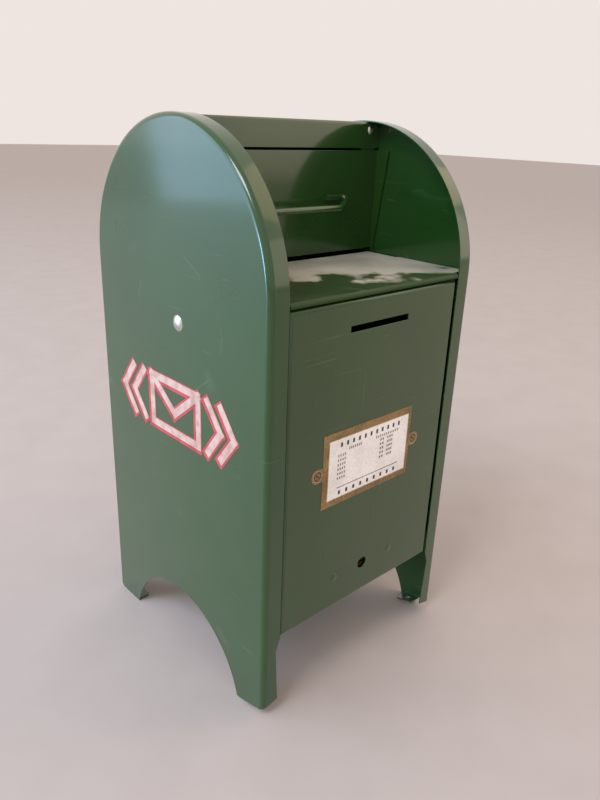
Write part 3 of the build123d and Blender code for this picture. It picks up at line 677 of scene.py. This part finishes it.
def timetable():
    """Dark rows: a heading, a long rule and a foot row."""
    bm = bmesh.new()
    dashes(bm, 0.14, 0.87, heading_z, 11, 1.1, 1.9)
    dashes(bm, 0.14, 0.85, foot_row_z, 9, 1.2, 1.7)
    panel_rect(bm, across(0.11), across(0.90), rule_low_z, rule_high_z, 3 * film)
    return bm


def small_rows():
    """Grey small print: a short line over each column, six rows at the left and five at the right."""
    bm = bmesh.new()
    dashes(bm, 0.24, 0.38, column_head_z, 7, 0.6, 1.2)
    dashes(bm, 0.58, 0.86, column_head_z, 12, 0.6, 1.1)
    for row in range(6):
        z = first_row_z - row_pitch * row
        dashes(bm, 0.11, 0.19, z, 4, 0.6, 1.1)
        if row < 5:
            dashes(bm, 0.64, 0.67, z, 2, 0.9, 1.0)
            dashes(bm, 0.73, 0.79, z, 4, 0.6, 1.1)
    return bm


def disc(bm, centre, radius, proud):
    """A round print on the label's face."""
    upright = Matrix.Translation(centre) @ Matrix.Rotation(pi / 2, 4, "X")
    bmesh.ops.create_cone(bm, cap_ends=True, segments=24, radius1=radius, radius2=radius,
                          depth=2 * proud, matrix=upright)


gold_print = litho_print("litho_gold_brown", "#6f5836", "#96794a", 0.40)
pale_print = litho_print("litho_pale_gold", "#a58a5c", "#c2a774", 0.40)
cream_print = litho_print("litho_cream_field", "#e9e4e2", "#fbf9f8", 0.42)
black_print = litho_print("litho_black", "#26231f", "#3b3732", 0.40)
grey_print = litho_print("litho_grey", "#6f6963", "#8b857e", 0.40)
piece("label_blank", label_blank(), gold_print, "collection_door", ["label_plate"])
rules, field, shades, heads, cuts = (bmesh.new() for _ in range(5))
panel_rect(rules, field_left - pale_rule, field_right + pale_rule, field_bottom - pale_rule,
           field_top + pale_rule, film)
panel_rect(field, field_left, field_right, field_bottom, field_top, 2 * film)
for lug_x in (label_left - lug_reach, label_right + lug_reach):
    centre = Vector((lug_x, label_low.y, label_middle.z))
    disc(rules, centre, pale_ring, film)
    disc(shades, centre, screw_shade, 2 * film)
    disc(heads, centre, screw_head, 3 * film)
    cut = panel_rect(cuts, lug_x - cut_half_length, lug_x + cut_half_length,
                     centre.z - cut_half_width, centre.z + cut_half_width, 4 * film)
    bmesh.ops.rotate(cuts, verts=cut, cent=centre, matrix=Matrix.Rotation(radians(40), 3, "Y"))
piece("label_pale_rules", rules, pale_print, "collection_door")
piece("label_field", field, cream_print, "collection_door")
piece("label_rows", timetable(), black_print, "collection_door")
piece("label_small_rows", small_rows(), grey_print, "collection_door")
piece("label_screw_shades", shades, black_print, "collection_door")
piece("label_screw_heads", heads, gold_print, "collection_door")
piece("label_screw_cuts", cuts, black_print, "collection_door")


# ---- Hopper door and its pull ------------------------------------------------------------------------
# A hemmed plate with an arm folded back at each side, which turns on the pivot rivets. The pull is a
# 2.6 mm wire, bent to a flat hoop; its turned-in feet lie along the plate and are spot-welded to it.
handle_low, handle_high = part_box("mail_door_handle")
wire_radius = 1.3 * MM
foot_end, foot_corner_x, bar_half = 21.7 * MM, 37.0 * MM, 19.5 * MM
foot_bend, bar_bend, weld_flat = 2.0 * MM, 3.4 * MM, 0.15 * MM


def bent_wire(route, bends, radius):
    """A round wire led along a route, straight runs joined by bends."""
    bm = bmesh.new()
    here = route[0]
    heading = (route[1] - here).normalized()
    turn = heading.to_track_quat("Z", "Y").to_matrix().to_4x4()
    edges = loop(bm, 20, Matrix.Translation(here) @ turn @ Matrix.Scale(radius, 4))
    for corner, after, bend in zip(route[1:-1], route[2:], bends):
        onward = (after - corner).normalized()
        angle = heading.angle(onward)
        setback = bend * tan(angle / 2)
        stop = corner - heading * setback
        edges = drawn_out(bm, edges, stop - here)
        axis = heading.cross(onward).normalized()
        centre = stop + axis.cross(heading) * bend
        spun = bmesh.ops.spin(bm, geom=edges, cent=centre, axis=axis, angle=angle, steps=10)
        edges = [part for part in spun["geom_last"] if isinstance(part, bmesh.types.BMEdge)]
        here = corner + onward * setback
        heading = onward
    drawn_out(bm, edges, route[-1] - here)
    bmesh.ops.remove_doubles(bm, verts=bm.verts, dist=0.005 * MM)
    bmesh.ops.holes_fill(bm, edges=bm.edges[:], sides=0)
    bmesh.ops.recalc_face_normals(bm, faces=bm.faces)
    return bm


piece("hopper_door", blanked("mail_door"), sheet_enamel, "hopper", ["mail_door"])
foot_z = handle_high.z - wire_radius
foot_y = handle_high.y - wire_radius + weld_flat
bar_y, bar_z = handle_low.y + wire_radius, handle_low.z + wire_radius
route = [Vector(point) for point in (
    (-foot_end, foot_y, foot_z), (-foot_corner_x, foot_y, foot_z), (-bar_half, bar_y, bar_z),
    (bar_half, bar_y, bar_z), (foot_corner_x, foot_y, foot_z), (foot_end, foot_y, foot_z))]
pull = bent_wire(route, (foot_bend, bar_bend, bar_bend, foot_bend), wire_radius)
for vert in pull.verts:
    vert.co.y = min(vert.co.y, handle_high.y)
piece("hopper_pull", pull, sheet_enamel, "hopper", ["mail_door_handle"])


# ---- Rivets ------------------------------------------------------------------------------------------
# Nickel-plated steel rivets, set after painting: flat domes on the sides that carry the hopper door's
# arms, and two small ones that close the roof strip's corners.
rivet_low, rivet_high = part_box("pivot_rivets")
rivet_head_radius, rivet_shank_radius = 3.2 * MM, 2.0 * MM
rivet_tail_radius, rivet_tail = 3.5 * MM, 0.9 * MM
roof_rivet_low, roof_rivet_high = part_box("roof_rivets")
roof_head_radius, roof_shank_radius = 2.0 * MM, 1.4 * MM


def nickel_plate():
    """Bright nickel over steel: near-white metal, faint polish marks, a little yellow tarnish."""
    material, tree, place = new_material("nickel_plate")
    stain = add(tree, "ShaderNodeTexNoise", {"Vector": place, "Scale": 500.0, "Detail": 4.0})
    tone = add(tree, "ShaderNodeValToRGB", {"Fac": stain},
               stops=[(0.35, linear("#b9b4a8")), (0.6, linear("#e6e4df"))])
    rough = add(tree, "ShaderNodeValToRGB", {"Fac": stain}, stops=[(0.35, 0.34), (0.6, 0.2)])
    marks = add(tree, "ShaderNodeBump", {"Height": stain, "Strength": 0.1, "Distance": 0.03 * MM})
    shader = add(tree, "ShaderNodeBsdfPrincipled",
                 {"Base Color": tone, "Roughness": rough, "Normal": marks, "Metallic": 1.0})
    add(tree, "ShaderNodeOutputMaterial", {"Surface": shader})
    return material


nickel = nickel_plate()
head_height = rivet_high.x - panel_x
tail_x = abs(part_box("mail_door")[0].x) - SHEET
grip = panel_x - tail_x
pivot_profile = domed(rivet_head_radius, head_height) + [
    (rivet_shank_radius, 0.0), (rivet_shank_radius, -grip), (rivet_tail_radius, -grip),
    (rivet_tail_radius, -grip - rivet_tail), (0.0, -grip - rivet_tail)]
pivots = joined([turned(pivot_profile, (side * panel_x, pivot_y, pivot_z), (side, 0, 0))
                 for side in (-1, 1)])
piece("pivot_rivet_pair", pivots, nickel, "shell", ["pivot_rivets"])

roof_rivet_x = roof_rivet_high.x - roof_head_radius
roof_rivet_z = (roof_rivet_low.z + roof_rivet_high.z) / 2
roof_grip = roof_rivet_high.y - cover_low.y
roof_tail = -roof_grip + SHEET
roof_profile = domed(roof_head_radius, cover_low.y - roof_rivet_low.y) + [
    (roof_shank_radius, 0.0), (roof_shank_radius, roof_tail), (roof_head_radius, roof_tail),
    (roof_head_radius, -roof_grip), (0.0, -roof_grip)]
corners = joined([turned(roof_profile, (side * roof_rivet_x, cover_low.y, roof_rivet_z), (0, -1, 0), 24)
                  for side in (-1, 1)])
piece("roof_rivet_pair", corners, nickel, "shell", ["roof_rivets"])


# ---- Studio ------------------------------------------------------------------------------------------
# A wide pale floor under soft daylight from the left, from high up and low down, with weaker warm light
# from the right and the front. The camera looks down at the object from its front left.
def plain_floor():
    """Pale painted board with a faint mottle of about 30 mm."""
    material, tree, place = new_material("pale_floor")
    mottle = add(tree, "ShaderNodeTexNoise", {"Vector": place, "Scale": 30.0, "Detail": 5.0})
    tone = add(tree, "ShaderNodeValToRGB", {"Fac": mottle},
               stops=[(0.3, linear("#b4a8a2")), (0.7, linear("#b9ada7"))])
    shader = add(tree, "ShaderNodeBsdfPrincipled", {"Base Color": tone, "Roughness": 0.5})
    add(tree, "ShaderNodeOutputMaterial", {"Surface": shader})
    return material


floor_half = 6.0
bm = bmesh.new()
bmesh.ops.create_grid(bm, x_segments=1, y_segments=1, size=floor_half)
floor_mesh = bpy.data.meshes.new("studio_floor")
bm.to_mesh(floor_mesh)
bm.free()
floor = bpy.data.objects.new("studio_floor", floor_mesh)
floor_mesh.materials.append(plain_floor())
bpy.context.scene.collection.objects.link(floor)

world = bpy.data.worlds.new("studio_sky")
bpy.context.scene.world = world
world.use_nodes = True
world.node_tree.nodes["Background"].inputs["Color"].default_value = linear("#f2e9e4")
world.node_tree.nodes["Background"].inputs["Strength"].default_value = 0.96


def soft_light(name, place, aim, size, power, colour):
    """A square area light that faces a point, itself unseen."""
    data = bpy.data.lights.new(name, "AREA")
    data.size = size
    data.energy = power
    data.color = linear(colour)[:3]
    lamp = bpy.data.objects.new(name, data)
    lamp.location = place
    lamp.rotation_euler = (Vector(aim) - Vector(place)).to_track_quat("-Z", "Y").to_euler()
    lamp.visible_camera = False
    bpy.context.scene.collection.objects.link(lamp)


middle = (0, 0, 0.12)
soft_light("window_left", (-1.37, 0.94, 0.70), middle, 1.6, 25, "#b4d8ff")
soft_light("window_high", (-1.05, -0.2, 1.4), middle, 0.62, 14, "#e6eeff")
soft_light("room_right", (1.1, -0.5, 1.2), middle, 0.9, 3, "#ffd9a8")
soft_light("window_low", (-1.3, 0.42, 0.13), middle, 0.25, 5, "#9cdcff")
soft_light("room_front", (1.2, -1.15, 0.5), middle, 0.8, 2, "#ffe9c8")

bpy.context.scene.view_settings.view_transform = "Standard"

camera_data = bpy.data.cameras.new("camera")
camera_data.lens = 30.71
camera_data.sensor_width = 36.0
camera = bpy.data.objects.new("camera", camera_data)
yaw = 0.7522
pitch = 0.3822
roll = 0.0378
ahead = Vector((sin(yaw) * cos(pitch), cos(yaw) * cos(pitch), -sin(pitch)))
level = Vector((cos(yaw), -sin(yaw), 0))
upward = level.cross(ahead)
right = level * cos(roll) + upward * sin(roll)
up = -level * sin(roll) + upward * cos(roll)
turn = Matrix((right, up, -ahead)).transposed()
camera.matrix_world = Matrix.Translation((-0.1955, -0.2238, 0.2318)) @ turn.to_4x4()
bpy.context.scene.collection.objects.link(camera)
bpy.context.scene.camera = camera
